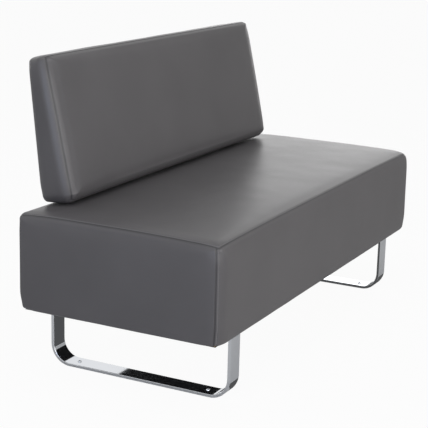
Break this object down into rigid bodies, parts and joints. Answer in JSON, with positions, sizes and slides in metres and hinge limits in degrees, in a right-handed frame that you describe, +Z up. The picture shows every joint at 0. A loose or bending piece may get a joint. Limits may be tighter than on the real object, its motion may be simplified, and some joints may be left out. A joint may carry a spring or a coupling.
{
  "type": "waiting room sofa",
  "caption": "Armless waiting room sofa: box seat and separate reclined back in grey leather-look cover, on chromed flat-bar sled legs.",
  "frame": {"origin": "on the floor, under the middle of the sofa's outer box", "axes": "+X along the sofa, to the right of someone facing it; +Y to its back; +Z up"},
  "size_m": [1.3, 0.584, 0.799],
  "materials": {
    "upholstery": "semi-matt grey leather-look vinyl with a fine grain",
    "foam": "open-cell upholstery foam",
    "frame_timber": "planed softwood",
    "plywood": "sanded birch plywood",
    "chromed_steel": "polished chrome plate",
    "black_steel": "matt black powder coat",
    "zinc_plated_steel": "bright zinc plate",
    "black_plastic": "moulded polyethylene",
    "dust_cloth": "non-woven black cloth"
  },
  "bodies": {
    "root": {"seat_cover_top": "upholstery", "seat_cover_front": "upholstery", "seat_cover_rear": "upholstery", "seat_cover_left": "upholstery", "seat_cover_right": "upholstery", "back_cover_front": "upholstery", "back_cover_boxing": "upholstery", "back_cover_rear": "upholstery", "seat_foam": "foam", "seat_padding_front": "foam", "seat_padding_rear": "foam", "seat_padding_left": "foam", "seat_padding_right": "foam", "back_foam_front": "foam", "back_foam_rear": "foam", "seat_front_rail": "frame_timber", "seat_rear_rail": "frame_timber", "seat_end_rail_left": "frame_timber", "seat_end_rail_right": "frame_timber", "seat_cross_rail": "frame_timber", "corner_blocks": "frame_timber", "leg_board_left": "frame_timber", "leg_board_right": "frame_timber", "seat_deck": "plywood", "back_board": "plywood", "leg_loop_left": "chromed_steel", "leg_loop_right": "chromed_steel", "leg_mounting_bar_left": "chromed_steel", "leg_mounting_bar_right": "chromed_steel", "glide_screws": "chromed_steel", "back_post_left": "black_steel", "back_post_right": "black_steel", "leg_bolts": "zinc_plated_steel", "leg_nut_plates": "zinc_plated_steel", "back_post_bolts": "zinc_plated_steel", "back_post_nut_plates": "zinc_plated_steel", "glide_front_left": "black_plastic", "glide_front_right": "black_plastic", "glide_rear_left": "black_plastic", "glide_rear_right": "black_plastic", "dust_cover": "dust_cloth"}
  },
  "joints": []
}
